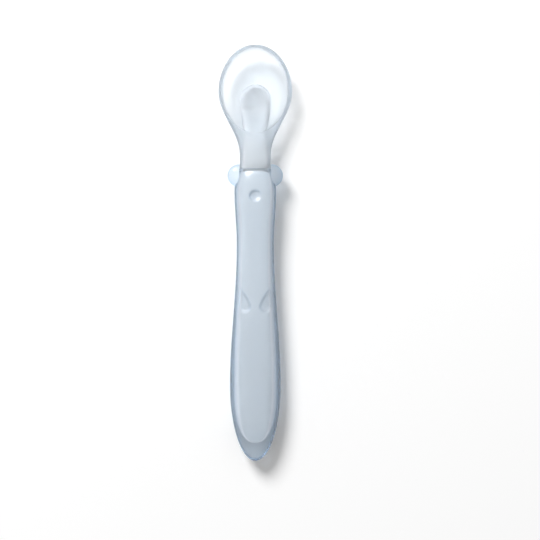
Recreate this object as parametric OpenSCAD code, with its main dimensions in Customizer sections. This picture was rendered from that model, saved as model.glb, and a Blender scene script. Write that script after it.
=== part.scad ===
// Baby spoon: a rigid core inside two soft, clear mouldings.
// It lies along Y with its bowl at +Y, and it rests on z = 0.

/* [Overall] */
// Length from the tip of the bowl to the end of the handle
spoon_l = 150; // [140:1:165]

/* [Bowl] */
// Width over the rim
bowl_w = 26.5; // [24:0.5:30]
// From the widest place to the tip
bowl_back_l = 17; // [15:0.5:20]
// From the widest place to the start of the neck
bowl_front_l = 22.5; // [20:0.5:26]
// Height of the rim at the widest place
rim_z = 8; // [7.6:0.2:10]
// How much higher the rim is at the tip
tip_rise = 0.4; // [0:0.1:1.4]
// Depth of the rounded band on the outside of the rim
rim_h = 1.6; // [1:0.1:2.2]
// Wall at the rim
rim_t = 1.35; // [1:0.05:2]
// Floor of the bowl
floor_t = 1.4; // [1.2:0.1:2]
// How far the round keel would reach below the flat it rests on
bowl_flat = 0.15; // [0.05:0.05:0.3]
// From the widest place to the front end of the cavity
cavity_front_l = 14.9; // [13:0.1:16]

/* [Neck] */
// Length between the shoulder and the bowl
neck_l = 5.2; // [3:0.1:9]
// Width
neck_w = 11.2; // [10.6:0.1:13]
// Height of its top
neck_top_z = 9.2; // [8.8:0.1:9.8]
// Height of its underside
neck_bottom_z = 3.4; // [2.8:0.1:3.8]

/* [Handle] */
// From the widest place of the grip to the end of the tail
tail_l = 27; // [22:0.5:32]
// Width of the grip at its widest place
grip_w = 18.4; // [17:0.1:23]
// Height of the grip's top
grip_top_z = 11; // [10.4:0.1:13]
// How far the round belly would reach below the flat it rests on
belly_flat = 0.25; // [0.1:0.05:0.5]
// Height of the middle of the tail's end
tail_mid_z = 6.8; // [5:0.1:7.4]
// From the shoulder's widest place back to the waist
waist_back_l = 19; // [15:0.5:26]
// Width of the waist
waist_w = 13.4; // [12.8:0.1:15]
// Height of the waist's top
waist_top_z = 10.7; // [10.3:0.1:11.6]
// Height of the waist's underside
waist_bottom_z = 2.3; // [1.5:0.1:2.6]
// Length of the domed shoulder
shoulder_l = 8.3; // [7:0.1:10]
// Width of the shoulder
shoulder_w = 15; // [14.2:0.1:17]
// Height of the shoulder's top
shoulder_top_z = 11.1; // [10.7:0.1:12]
// Height of the shoulder's underside
shoulder_bottom_z = 2.5; // [1.8:0.1:2.8]

/* [Core] */
// Skin beside the core from the waist to the shoulder
side_skin = 1.75; // [1.2:0.05:2.2]
// Skin beside the core at the grip's widest place
grip_skin = 2.7; // [1.4:0.1:3.2]
// Skin above and below the core in the handle
face_skin = 1.3; // [1:0.1:1.6]
// Clear tail beyond the core's end
tail_clear_l = 6.7; // [6:0.1:12]
// How far the core's own shoulder ends behind the shoulder's front
core_shoulder_back = 0.7; // [0.5:0.1:2]
// Width of the bar in the neck
bar_w = 8; // [6.6:0.1:8.4]
// Cover above and below the bar in the neck
bar_cover = 1.1; // [0.8:0.1:1.4]
// Width of the bar where it enters the bowl
bar_waist_w = 7; // [6:0.1:7.6]
// Width of the tongue
tongue_w = 9.6; // [8:0.1:10]
// Thickness of the tongue at its sides
tongue_t = 2.1; // [1.8:0.1:2.4]
// Clear wall under the tongue
tongue_lift = 0.8; // [0.6:0.1:1.2]
// From the bowl's widest place to the tongue's round end
tongue_end = 2.4; // [0:0.1:3]
// Length of the tongue's round end
tongue_round_l = 5.5; // [4:0.5:7]
// How deep the tongue's top is dished
tongue_dish = 1.1; // [0.5:0.1:1.2]
// Cover above the tongue
cover_t = 0.6; // [0.4:0.05:0.8]
// Cover beside the tongue
cover_side_t = 0.9; // [0.7:0.05:1.2]

/* [Rest knobs] */
// Diameter of a knob
knob_d = 8.1; // [7:0.1:9]
// Thickness of a knob
knob_h = 6; // [4:0.1:6.4]
// Width over both knobs
knob_span = 20; // [19:0.1:22]
// From the shoulder's front back to the knobs' middle
knob_back = 2.4; // [1.8:0.1:3.2]

/* [Recesses] */
// Diameter of the dimple on the shoulder
dimple_d = 4.7; // [3.6:0.1:5.4]
// Depth of the dimple
dimple_depth = 0.7; // [0.4:0.05:0.9]
// From the shoulder's widest place back to the dimple
dimple_back = 1.5; // [0.5:0.1:4]
// Length of a thumb scoop
scoop_l = 9.4; // [8:0.1:11]
// Width of a thumb scoop
scoop_w = 4.4; // [3.8:0.1:5]
// Depth of a thumb scoop at its inner wall
scoop_depth = 0.75; // [0.4:0.05:0.9]
// From the middle of the handle out to the middle of a scoop
scoop_out = 3.1; // [2.8:0.1:3.6]
// From the waist back to the scoops
scoop_back = 20; // [14:0.5:24]
// How far a scoop's pointed end leans outwards
scoop_lean = 14; // [0:1:20]

/* [Hidden] */

// Overrun of a cut past the face that it opens
over = 1;
// Points over the top of a cross-section, under it, and on each side of a rim
upper_n = 20;
lower_n = 12;
rim_n = 2;
// Points round a knob or the dimple, along a knob's profile, and along a scoop
round_n = 36;
profile_n = 12;
scoop_n = 8;
// Steps along a rounded end, and along a stretch that bends gently
end_steps = 7;
run_steps = 7;
// The last ring of a rounded end stands at this share of its length
end_share = 0.9995;
// Clearance between a knob and the neck beside it
knob_gap = 0.05;
// Least half width of the cavity in a division
end_gap = 0.01;

// Roundness of cross-sections and of ends: 2 is an ellipse, and more is squarer
handle_round = 2.3;
neck_round = 3.4;
core_round = 2.8;
bowl_round = 2.2;
rim_round = 5;
tip_round = 2.1;
shoulder_plan_round = 1.7;
shoulder_side_round = 2.1;
core_end_round = 2.5;
knob_round = 2.5;

// Places across half the cavity, close together at the side of the tongue's cover
cavity_x_shares = [0, 0.13, 0.26, 0.37, 0.44, 0.51, 0.68, 0.85, 1];
// The cavity's lines stay at least this share of the width apart, past its ends too
cavity_least_share = 0.3;

// Where the rim, the keel, the core and its cover change height, as shares of the bowl's front length
rim_run_shares = [0.2, 0.95];
keel_run_shares = [0.1, 1.05];
tongue_run_shares = [0.18, 0.93];
cover_run_shares = [0.18, 0.74];

ring_n = upper_n + lower_n;
tip_y = spoon_l / 2;
tail_y = -spoon_l / 2;
bowl_y = tip_y - bowl_back_l;
neck_y = bowl_y - bowl_front_l;
joint_y = neck_y - neck_l;
shoulder_y = joint_y - shoulder_l;
waist_y = shoulder_y - waist_back_l;
grip_y = tail_y + tail_l;
neck_mid_z = (neck_top_z + neck_bottom_z) / 2;
cavity_back_l = bowl_back_l - rim_t;
core_end_y = tail_y + tail_clear_l;
core_joint_y = joint_y - core_shoulder_back;
tongue_tip_y = bowl_y + tongue_end;

// Smooth step from a to b as t goes from 0 to 1
function ease(a, b, t) = a + (b - a) * (1 - cos(180 * min(max(t, 0), 1))) / 2;

// Smooth step from a at y0 to b at y1
function run(a, b, y0, y1, y) = ease(a, b, (y - y0) / (y1 - y0));

// Height of a rounded quarter at t, from 1 at t = 0 to 0 at t = 1
function dome(t, n) = pow(max(0, 1 - pow(min(abs(t), 1), n)), 1 / n);

// A signed power, for rounded cross-sections
function bend(v, n) = sign(v) * pow(abs(v), 2 / n);

// Outer half width of the handle and neck
function handle_half_w(y) =
    y < grip_y ? grip_w / 2 * dome((grip_y - y) / tail_l, 2)
    : y < waist_y ? run(grip_w / 2, waist_w / 2, grip_y, waist_y, y)
    : y < shoulder_y ? run(waist_w / 2, shoulder_w / 2, waist_y, shoulder_y, y)
    : neck_w / 2 + (shoulder_w - neck_w) / 2 * dome((y - shoulder_y) / shoulder_l, shoulder_plan_round);

// Top of the handle
function handle_top(y) =
    y < grip_y ? tail_mid_z + (grip_top_z - tail_mid_z) * dome((grip_y - y) / tail_l, tip_round)
    : y < waist_y ? run(grip_top_z, waist_top_z, grip_y, waist_y, y)
    : y < shoulder_y ? run(waist_top_z, shoulder_top_z, waist_y, shoulder_y, y)
    : neck_top_z + (shoulder_top_z - neck_top_z) * dome((y - shoulder_y) / shoulder_l, shoulder_side_round);

// Underside of the handle, before its flat
function handle_bottom(y) =
    y < grip_y ? tail_mid_z - (tail_mid_z + belly_flat) * dome((grip_y - y) / tail_l, tip_round)
    : y < waist_y ? run(-belly_flat, waist_bottom_z, grip_y, waist_y, y)
    : y < shoulder_y ? run(waist_bottom_z, shoulder_bottom_z, waist_y, shoulder_y, y)
    : run(shoulder_bottom_z, neck_bottom_z, shoulder_y, joint_y, y);

// Outer half width of the neck and bowl
function bowl_half_w(y) =
    y < bowl_y ? run(neck_w / 2, bowl_w / 2, neck_y, bowl_y, y)
    : bowl_w / 2 * dome((y - bowl_y) / bowl_back_l, 2);

// Share of the way from the bowl's widest place to the neck
function front_share(y) = (bowl_y - y) / bowl_front_l;

// Top of the rim and neck
function rim_top(y) =
    y < bowl_y ? ease(rim_z, neck_top_z,
        (front_share(y) - rim_run_shares[0]) / (rim_run_shares[1] - rim_run_shares[0]))
    : run(rim_z, rim_z + tip_rise, bowl_y, tip_y, y);

// Underside of the neck and bowl, before its flat
function keel(y) =
    y < bowl_y ? ease(-bowl_flat, neck_bottom_z,
        (front_share(y) - keel_run_shares[0]) / (keel_run_shares[1] - keel_run_shares[0]))
    : rim_top(y) - rim_h - (rim_top(y) - rim_h + bowl_flat) * dome((y - bowl_y) / bowl_back_l, tip_round);

// How far a cross-section between the bowl, at 0, and the neck, at 1, has changed
function neck_share(y) = y < bowl_y ? ease(0, 1, front_share(y)) : 0;

// Height of the widest place of the neck's and bowl's cross-section
function wide_z(y) = rim_top(y) - rim_h / 2 + (neck_mid_z - rim_top(y) + rim_h / 2) * neck_share(y);

// Length of the cavity from the widest place, on the tip's side or the neck's side
function cavity_reach(y) = y < bowl_y ? cavity_front_l : cavity_back_l;

// Half width and depth of the cavity
function cavity_half_w(y) = (bowl_w / 2 - rim_t) * dome((y - bowl_y) / cavity_reach(y), 2);
function cavity_depth(y) = (rim_z - floor_t) * dome((y - bowl_y) / cavity_reach(y), bowl_round);

// Half width of the core
function core_half_w(y) =
    y < grip_y ? (grip_w / 2 - grip_skin) * dome((grip_y - y) / (grip_y - core_end_y), core_end_round)
    : y < shoulder_y ? handle_half_w(y) - run(grip_skin, side_skin, grip_y, waist_y, y)
    : y < core_joint_y ? bar_w / 2 + (shoulder_w / 2 - side_skin - bar_w / 2)
        * dome((y - shoulder_y) / (core_joint_y - shoulder_y), shoulder_plan_round)
    : y < neck_y ? bar_w / 2
    : y < bowl_y - cavity_front_l ? run(bar_w / 2, bar_waist_w / 2, neck_y, bowl_y - cavity_front_l, y)
    : y < tongue_tip_y - tongue_round_l
    ? run(bar_waist_w / 2, tongue_w / 2, bowl_y - cavity_front_l, tongue_tip_y - tongue_round_l, y)
    : tongue_w / 2 * dome((y - tongue_tip_y + tongue_round_l) / tongue_round_l, 2);

// How far the core or its cover has sunk between the neck, at 0, and the tongue, at 1
function sink_share(y, shares = tongue_run_shares) =
    1 - ease(0, 1, (front_share(y) - shares[0]) / (shares[1] - shares[0]));

// Top of the core at its sides
function core_top(y) =
    y < grip_y ? tail_mid_z + (grip_top_z - face_skin - tail_mid_z)
        * dome((grip_y - y) / (grip_y - core_end_y), core_end_round)
    : y < shoulder_y ? handle_top(y) - face_skin
    : y < core_joint_y ? neck_top_z - bar_cover + (shoulder_top_z - face_skin - neck_top_z + bar_cover)
        * dome((y - shoulder_y) / (core_joint_y - shoulder_y), shoulder_side_round)
    : (neck_top_z - bar_cover) * (1 - sink_share(y)) + (tongue_lift + tongue_t) * sink_share(y);

// Underside of the core
function core_bottom(y) =
    y < grip_y ? tail_mid_z - (tail_mid_z - face_skin)
        * dome((grip_y - y) / (grip_y - core_end_y), core_end_round)
    : y < waist_y ? run(face_skin, waist_bottom_z + face_skin, grip_y, waist_y, y)
    : y < shoulder_y ? handle_bottom(y) + face_skin
    : y < core_joint_y ? run(shoulder_bottom_z + face_skin, neck_bottom_z + bar_cover,
        shoulder_y, core_joint_y, y)
    : (neck_bottom_z + bar_cover) * (1 - sink_share(y)) + tongue_lift * sink_share(y);

// Middle height of the core, and how far its top is dished
function core_mid(y) = (core_bottom(y) + core_top(y)) / 2;
function core_dish(y) = tongue_dish * sink_share(y);

// Half width of the raised cover over the tongue
function cover_half_w(y) =
    y < tongue_tip_y - tongue_round_l ? core_half_w(y) + cover_side_t
    : (tongue_w / 2 + cover_side_t)
        * dome((y - tongue_tip_y + tongue_round_l) / (tongue_round_l + cover_side_t), 2);

// Top of the cover at its sides. It sinks later than the core does, so it is thick at the bowl's end.
function cover_top(y) =
    let (s = sink_share(y, cover_run_shares))
    cover_t + (neck_top_z - bar_cover) * (1 - s) + (tongue_lift + tongue_t) * s;

// Height of the tongue's cover at x
function cover_z(x, y) =
    let (w = cover_half_w(y), mid = core_mid(y), dish = tongue_dish * sink_share(y, cover_run_shares))
    abs(x) < w
    ? mid + (cover_top(y) - mid) * dome(x / w, core_round) - dish * (1 - x * x / w / w)
    : 0;

// Height of the bowl's and neck's upper surface at x: the rim or neck, the cavity in it, and the cover in that
function bowl_upper_z(x, y) =
    let (
        w = bowl_half_w(y),
        n = rim_round + (neck_round - rim_round) * neck_share(y),
        crown = wide_z(y) + (rim_top(y) - wide_z(y)) * dome(x / w, n),
        floor = rim_top(y) - cavity_depth(y) * dome(x / max(cavity_half_w(y), end_gap), bowl_round)
    )
    max(min(crown, floor), min(crown, cover_z(x, y)));

// Angle of point i round a cross-section: 0 is +X and 90 is up
function angle(i) = i <= upper_n ? 180 * i / upper_n : 180 + 180 * (i - upper_n) / lower_n;

// A closed cross-section at y: half width w, from bottom to top, with its own roundness.
// Its top is dished in the middle, and nothing of it lies below z = 0.
function ring(y, w, bottom, top, n, dish = 0) =
    let (mid = (max(0, bottom) + top) / 2)
    [
        for (i = [0 : ring_n - 1])
            let (a = angle(i), up = sin(a) > 0, x = bend(cos(a), n))
            let (z = mid + (up ? top - mid : mid - bottom) * bend(sin(a), n))
            [w * x, y, max(0, up ? z - dish * (1 - x * x) * sin(a) : z)]
    ];

// Place across the bowl of point i over its top: on the rim, or in the cavity
function bowl_x(i, y) =
    let (
        w = bowl_half_w(y),
        c = max(cavity_half_w(y), cavity_least_share * w),
        k = i - upper_n / 2,
        half_n = upper_n / 2 - rim_n,
        x = abs(k) <= half_n ? c * cavity_x_shares[abs(k)] : c + (w - c) * (abs(k) - half_n) / rim_n
    )
    k < 0 ? x : -x;

// The bowl's and neck's cross-section at y
function bowl_ring(y) =
    let (s = neck_share(y), n = bowl_round + (neck_round - bowl_round) * s, w = bowl_half_w(y))
    [
        for (i = [0 : ring_n - 1])
            let (a = angle(i), round_x = w * bend(cos(a), i <= upper_n ? neck_round : n))
            let (x = i <= upper_n ? round_x * s + bowl_x(i, y) * (1 - s) : round_x)
            [x, y, i <= upper_n ? bowl_upper_z(x, y)
                : max(0, wide_z(y) + (wide_z(y) - keel(y)) * bend(sin(a), n))]
    ];

// Places along a run from a to b, in even steps, without its end
function even_steps(a, b, n) = [for (i = [0 : n - 1]) a + (b - a) * i / n];

// Places along a rounded end that starts at a and closes at b, close together at b
function end_steps_to(a, b) = concat(
    [for (i = [0 : end_steps - 1]) a + (b - a) * sin(90 * i / end_steps)],
    [a + (b - a) * end_share]
);

function reversed(list) = [for (i = [len(list) - 1 : -1 : 0]) list[i]];

// Triangles between two rings that start at points a and b
function band_faces(a, b) = concat(
    [for (i = [0 : ring_n - 1]) [a + i, b + (i + 1) % ring_n, b + i]],
    [for (i = [0 : ring_n - 1]) [a + i, a + (i + 1) % ring_n, b + (i + 1) % ring_n]]
);

// A flat cap on the ring that starts at point a, seen from its far side
function cap_face(a) = [for (i = [0 : ring_n - 1]) a + i];

// A closed skin over rings, capped at both ends
module solid_skin(rings) {
    last = (len(rings) - 1) * ring_n;
    faces = concat(
        [reversed(cap_face(0))],
        [for (r = [0 : len(rings) - 2]) each band_faces(r * ring_n, (r + 1) * ring_n)],
        [cap_face(last)]
    );
    polyhedron([for (r = rings) each r], faces, convexity = 6);
}

// A wall between outer and inner rings. Both sets start at the closed end and finish at the mouth.
module cup_skin(outer, inner, flip) {
    last = (len(outer) - 1) * ring_n;
    first = len(outer) * ring_n;
    mouth = first + (len(inner) - 1) * ring_n;
    faces = concat(
        [reversed(cap_face(0))],
        [for (r = [0 : len(outer) - 2]) each band_faces(r * ring_n, (r + 1) * ring_n)],
        band_faces(last, mouth),
        [for (r = [len(inner) - 1 : -1 : 1]) each band_faces(first + r * ring_n, first + (r - 1) * ring_n)],
        [cap_face(first)]
    );
    turned = flip ? [for (f = faces) reversed(f)] : faces;
    polyhedron([for (r = concat(outer, inner)) each r], turned, convexity = 6);
}

grip_ys = even_steps(grip_y + (waist_y - grip_y) / (2 * run_steps), waist_y, 2 * run_steps - 1);

handle_ys = concat(
    reversed(end_steps_to(grip_y, tail_y)),
    grip_ys,
    even_steps(waist_y, shoulder_y, run_steps),
    end_steps_to(shoulder_y, joint_y),
    [joint_y]
);

handle_core_ys = concat(
    reversed(end_steps_to(grip_y, core_end_y)),
    grip_ys,
    even_steps(waist_y, shoulder_y, run_steps),
    end_steps_to(shoulder_y, core_joint_y),
    [core_joint_y, joint_y]
);

bowl_core_ys = concat(
    [joint_y],
    even_steps(neck_y, tongue_tip_y - tongue_round_l, 2 * run_steps),
    end_steps_to(tongue_tip_y - tongue_round_l, tongue_tip_y)
);

bowl_ys = concat(
    [joint_y],
    even_steps(neck_y, bowl_y - cavity_front_l, run_steps),
    reversed(end_steps_to(bowl_y - cavity_front_l / 2, bowl_y - cavity_front_l)),
    even_steps(bowl_y - cavity_front_l / 2, tongue_tip_y, run_steps),
    [tongue_tip_y, tongue_tip_y + cover_side_t],
    end_steps_to(tongue_tip_y + 2 * cover_side_t, tip_y - rim_t),
    end_steps_to(tip_y - rim_t, tip_y)
);

// The core's cross-section at y. The mouldings are wrapped round the same one, so they meet it face to face.
function core_ring(y) = ring(y, core_half_w(y), core_bottom(y), core_top(y), core_round, core_dish(y));

// Profile of a turned shape with round edges: radius r, and half height h
function round_profile(r, h, n) = concat(
    [[0, -h]],
    [for (i = [1 : n - 1]) let (a = 180 * i / n - 90) [r * bend(cos(a), knob_round), h * bend(sin(a), knob_round)]],
    [[0, h]]
);

// A rounded knob beside the shoulder, cut flat where it meets the neck
module knob(side) {
    y = joint_y - knob_back;
    root = max(neck_w / 2, core_half_w(y - knob_d / 2)) + knob_gap;
    intersection() {
        translate([side * (knob_span - knob_d) / 2, y, neck_mid_z])
            rotate_extrude($fn = round_n)
                polygon(round_profile(knob_d / 2, knob_h / 2, profile_n));
        translate([side > 0 ? root : -root - knob_span, y - knob_d, neck_mid_z - knob_h])
            cube([knob_span, 2 * knob_d, 2 * knob_h]);
    }
}

// A shallow round recess in the shoulder's top
module dimple() {
    r = (dimple_d * dimple_d / 4 + dimple_depth * dimple_depth) / (2 * dimple_depth);
    y = shoulder_y - dimple_back;
    translate([0, y, handle_top(y) - dimple_depth + r])
        sphere(r, $fn = round_n);
}

// Outline of a scoop: a drop with its point at +Y
function drop_outline() =
    let (r = scoop_w / 2, reach = scoop_l - r)
    concat(
        [for (i = [0 : 2 * scoop_n]) let (a = 180 + 180 * i / (2 * scoop_n)) [r * cos(a), r * sin(a)]],
        [for (i = [1 : scoop_n]) let (t = i / scoop_n) [r * (1 - t * t), reach * t]],
        [for (i = [scoop_n - 1 : -1 : 1]) let (t = i / scoop_n) [-r * (1 - t * t), reach * t]]
    );

// A drop-shaped recess beside the middle of the grip, with a level floor
module scoop(side) {
    y = waist_y - scoop_back;
    translate([side * scoop_out, y - scoop_l / 2 + scoop_w / 2, handle_top(y) - scoop_depth])
        rotate([0, 0, -side * scoop_lean])
            linear_extrude(scoop_depth + over)
                polygon(drop_outline());
}

module core() {
    color("lightsteelblue")
        solid_skin([for (y = concat(handle_core_ys, [for (y = bowl_core_ys) if (y > joint_y) y])) core_ring(y)]);
}

module bowl() {
    color("aliceblue")
        cup_skin(
            [for (y = reversed(bowl_ys)) bowl_ring(y)],
            [for (y = reversed(bowl_core_ys)) core_ring(y)],
            true
        );
}

module handle_sleeve() {
    color("lightblue")
        difference() {
            union() {
                cup_skin(
                    [
                        for (y = handle_ys)
                            ring(y, handle_half_w(y), handle_bottom(y), handle_top(y),
                                y < shoulder_y ? handle_round
                                : run(handle_round, neck_round, shoulder_y, joint_y, y))
                    ],
                    [for (y = handle_core_ys) core_ring(y)],
                    false
                );
                knob(-1);
                knob(1);
            }
            dimple();
            scoop(-1);
            scoop(1);
        }
}

core();
bowl();
handle_sleeve();
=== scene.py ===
"""Baby spoon: a rigid pale core inside two soft, clear mouldings, dressed and lit.

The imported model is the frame: the spoon lies along Y with its bowl at +Y, and it rests on z = 0.
Sizes are in millimetres, as in the part's source, and turn into metres where a mesh is made.
"""

import logging
import math
from collections.abc import Callable
from dataclasses import dataclass, field, fields
from enum import Enum

import bmesh
import bpy
import numpy as np
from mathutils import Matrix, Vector


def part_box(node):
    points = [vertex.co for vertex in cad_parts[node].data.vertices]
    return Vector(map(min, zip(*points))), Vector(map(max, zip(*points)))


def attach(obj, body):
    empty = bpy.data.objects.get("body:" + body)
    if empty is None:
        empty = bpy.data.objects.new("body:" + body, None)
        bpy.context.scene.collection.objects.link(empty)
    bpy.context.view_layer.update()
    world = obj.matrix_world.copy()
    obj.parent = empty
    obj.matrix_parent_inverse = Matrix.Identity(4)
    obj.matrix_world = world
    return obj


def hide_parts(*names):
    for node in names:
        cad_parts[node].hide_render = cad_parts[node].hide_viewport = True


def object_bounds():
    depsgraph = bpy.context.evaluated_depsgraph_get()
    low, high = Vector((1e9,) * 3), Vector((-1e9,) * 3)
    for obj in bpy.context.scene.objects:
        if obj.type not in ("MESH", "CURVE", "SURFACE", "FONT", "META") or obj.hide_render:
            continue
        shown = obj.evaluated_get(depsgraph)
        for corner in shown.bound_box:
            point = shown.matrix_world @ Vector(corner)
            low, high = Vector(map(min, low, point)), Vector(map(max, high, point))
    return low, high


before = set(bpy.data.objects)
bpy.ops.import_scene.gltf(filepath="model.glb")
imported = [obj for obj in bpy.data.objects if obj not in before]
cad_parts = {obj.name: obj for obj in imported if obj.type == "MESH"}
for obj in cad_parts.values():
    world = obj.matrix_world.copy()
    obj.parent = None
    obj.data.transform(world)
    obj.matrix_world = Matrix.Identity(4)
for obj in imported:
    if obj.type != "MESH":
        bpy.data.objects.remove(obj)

LOG = logging.getLogger("baby_spoon")
MM = 0.001
TINY = 1e-6
FROST_L = 14.0
WHITE = (1, 1, 1, 1)
CAD_BOX = [list(corner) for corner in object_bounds()]

Values = float | np.ndarray
Colour = tuple[float, float, float]
Feed = float | tuple[float, ...] | bpy.types.NodeSocket


class Slot(Enum):
    """The record's material slots."""

    CORE = "core_plastic"
    CLEAR = "clear_silicone"
    BLUE = "blue_silicone"


class Node(Enum):
    """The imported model's nodes that the pieces here stand for."""

    CORE = "core"
    BOWL = "bowl"
    SLEEVE = "handle_sleeve"


def ease(a: Values, b: Values, t: Values) -> Values:
    """Step smoothly from one value to another.

    Args:
        a: Value at t = 0 and before it.
        b: Value at t = 1 and past it.
        t: Share of the way.

    Returns:
        The value at t.
    """
    return a + (b - a) * (1 - np.cos(np.pi * np.clip(t, 0, 1))) / 2


def run(a: Values, b: Values, start: float, end: float, y: Values) -> Values:
    """Step smoothly from one value to another between two places.

    Args:
        a: Value at the start.
        b: Value at the end.
        start: Place where the step starts.
        end: Place where it ends.
        y: Place that is asked about.

    Returns:
        The value at y.
    """
    return ease(a, b, (y - start) / (end - start))


def dome(t: Values, n: float) -> Values:
    """Give the height of a rounded quarter, from 1 at t = 0 to 0 at t = 1.

    Args:
        t: Share of the way out, either way.
        n: Roundness: 2 is an ellipse, and more is squarer.

    Returns:
        The height at t.
    """
    return np.maximum(0, 1 - np.minimum(np.abs(t), 1) ** n) ** (1 / n)


def bend(v: Values, n: Values) -> Values:
    """Give a signed power, which turns a circle's sines into a squarer section's.

    Args:
        v: Sine or cosine.
        n: Roundness of the section.

    Returns:
        The bent value.
    """
    return np.sign(v) * np.abs(v) ** (2 / n)


def soft_step(t: Values) -> Values:
    """Give a smooth step from 0 to 1 as t goes from 0 to 1."""
    t = np.clip(t, 0, 1)
    return t * t * (3 - 2 * t)


def soft_min(a: Values, b: Values, r: float) -> Values:
    """Give the lower of two heights, with the crease between them rounded.

    Args:
        a: One height.
        b: The other height.
        r: Width of the rounding.

    Returns:
        The rounded lower height.
    """
    h = np.maximum(r - np.abs(a - b), 0) / r
    return np.minimum(a, b) - h * h * r / 4


@dataclass(frozen=True)
class SpoonForm:
    """The sizes that all three pieces share, in millimetres, and the outlines they make."""

    tip_y: float
    tail_y: float
    bowl_w: float
    grip_w: float = 18.4
    bowl_back_l: float = 17.0
    bowl_front_l: float = 22.5
    rim_z: float = 8.0
    tip_rise: float = 0.4
    rim_from: float = 0.2
    rim_to: float = 0.95
    keel_from: float = 0.1
    keel_to: float = 1.05
    rim_h: float = 1.6
    rim_t: float = 1.35
    floor_t: float = 1.4
    bowl_flat: float = 0.15
    cavity_front_l: float = 14.9
    neck_l: float = 5.2
    neck_w: float = 11.2
    neck_top_z: float = 9.2
    neck_bottom_z: float = 3.4
    tail_l: float = 27.0
    grip_top_z: float = 11.0
    belly_flat: float = 0.25
    tail_mid_z: float = 6.8
    waist_back_l: float = 19.0
    waist_w: float = 13.4
    waist_top_z: float = 10.7
    waist_bottom_z: float = 2.3
    shoulder_l: float = 8.3
    shoulder_w: float = 15.0
    shoulder_top_z: float = 11.1
    shoulder_bottom_z: float = 2.5
    handle_round: float = 2.3
    neck_round: float = 3.4
    bowl_round: float = 2.2
    tip_round: float = 2.1
    shoulder_plan_round: float = 1.7
    shoulder_side_round: float = 2.1

    @classmethod
    def from_frame(cls) -> "SpoonForm":
        """Read the length and the bowl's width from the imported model.

        Returns:
            The spoon's form.
        """
        low, high = CAD_BOX
        bowl_low, bowl_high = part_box(Node.BOWL.value)
        return cls(tip_y=high[1] / MM, tail_y=low[1] / MM, bowl_w=(bowl_high[0] - bowl_low[0]) / MM,
                   shoulder_top_z=high[2] / MM)

    @property
    def bowl_y(self) -> float:
        """Place of the bowl's widest point."""
        return self.tip_y - self.bowl_back_l

    @property
    def neck_y(self) -> float:
        """Place where the bowl runs into the neck."""
        return self.bowl_y - self.bowl_front_l

    @property
    def joint_y(self) -> float:
        """Place where the neck runs into the shoulder."""
        return self.neck_y - self.neck_l

    @property
    def shoulder_y(self) -> float:
        """Place of the shoulder's widest point."""
        return self.joint_y - self.shoulder_l

    @property
    def waist_y(self) -> float:
        """Place of the waist."""
        return self.shoulder_y - self.waist_back_l

    @property
    def grip_y(self) -> float:
        """Place of the grip's widest point."""
        return self.tail_y + self.tail_l

    @property
    def neck_mid_z(self) -> float:
        """Middle height of the neck."""
        return (self.neck_top_z + self.neck_bottom_z) / 2

    def by_stretch(self, y: Values, tail: Values, grip: Values, waist: Values, shoulder: Values) -> Values:
        """Pick the value of the handle's stretch that holds y.

        Args:
            y: Place that is asked about.
            tail: Value behind the grip's widest point.
            grip: Value from there to the waist.
            waist: Value from there to the shoulder's widest point.
            shoulder: Value in front of that.

        Returns:
            The value at y.
        """
        front = np.where(y < self.shoulder_y, waist, shoulder)
        return np.where(y < self.grip_y, tail, np.where(y < self.waist_y, grip, front))

    def tail_dome(self, y: Values, n: float) -> Values:
        """Give the shape of the rounded tail at y, from 1 down to 0, with roundness n."""
        return dome((self.grip_y - y) / self.tail_l, n)

    def shoulder_dome(self, y: Values, n: float) -> Values:
        """Give the shape of the rounded shoulder at y, from 1 down to 0, with roundness n."""
        return dome((y - self.shoulder_y) / self.shoulder_l, n)

    def handle_half_w(self, y: Values) -> Values:
        """Give the handle's outer half width at y.

        Args:
            y: Place that is asked about.

        Returns:
            The half width.
        """
        shoulder = self.shoulder_dome(y, self.shoulder_plan_round)
        return self.by_stretch(
            y,
            self.grip_w / 2 * self.tail_dome(y, 2),
            run(self.grip_w / 2, self.waist_w / 2, self.grip_y, self.waist_y, y),
            run(self.waist_w / 2, self.shoulder_w / 2, self.waist_y, self.shoulder_y, y),
            self.neck_w / 2 + (self.shoulder_w - self.neck_w) / 2 * shoulder,
        )

    def handle_top(self, y: Values) -> Values:
        """Give the height of the handle's top at y.

        Args:
            y: Place that is asked about.

        Returns:
            The height.
        """
        shoulder = self.shoulder_dome(y, self.shoulder_side_round)
        return self.by_stretch(
            y,
            self.tail_mid_z + (self.grip_top_z - self.tail_mid_z) * self.tail_dome(y, self.tip_round),
            run(self.grip_top_z, self.waist_top_z, self.grip_y, self.waist_y, y),
            run(self.waist_top_z, self.shoulder_top_z, self.waist_y, self.shoulder_y, y),
            self.neck_top_z + (self.shoulder_top_z - self.neck_top_z) * shoulder,
        )

    def handle_bottom(self, y: Values) -> Values:
        """Give the height of the handle's underside at y, before its flat.

        Args:
            y: Place that is asked about.

        Returns:
            The height.
        """
        return self.by_stretch(
            y,
            self.tail_mid_z - (self.tail_mid_z + self.belly_flat) * self.tail_dome(y, self.tip_round),
            run(-self.belly_flat, self.waist_bottom_z, self.grip_y, self.waist_y, y),
            run(self.waist_bottom_z, self.shoulder_bottom_z, self.waist_y, self.shoulder_y, y),
            run(self.shoulder_bottom_z, self.neck_bottom_z, self.shoulder_y, self.joint_y, y),
        )

    def bowl_half_w(self, y: Values) -> Values:
        """Give the outer half width of the neck and bowl at y.

        Args:
            y: Place that is asked about.

        Returns:
            The half width.
        """
        front = run(self.neck_w / 2, self.bowl_w / 2, self.neck_y, self.bowl_y, y)
        back = self.bowl_w / 2 * dome((y - self.bowl_y) / self.bowl_back_l, 2)
        return np.where(y < self.bowl_y, front, back)

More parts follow.
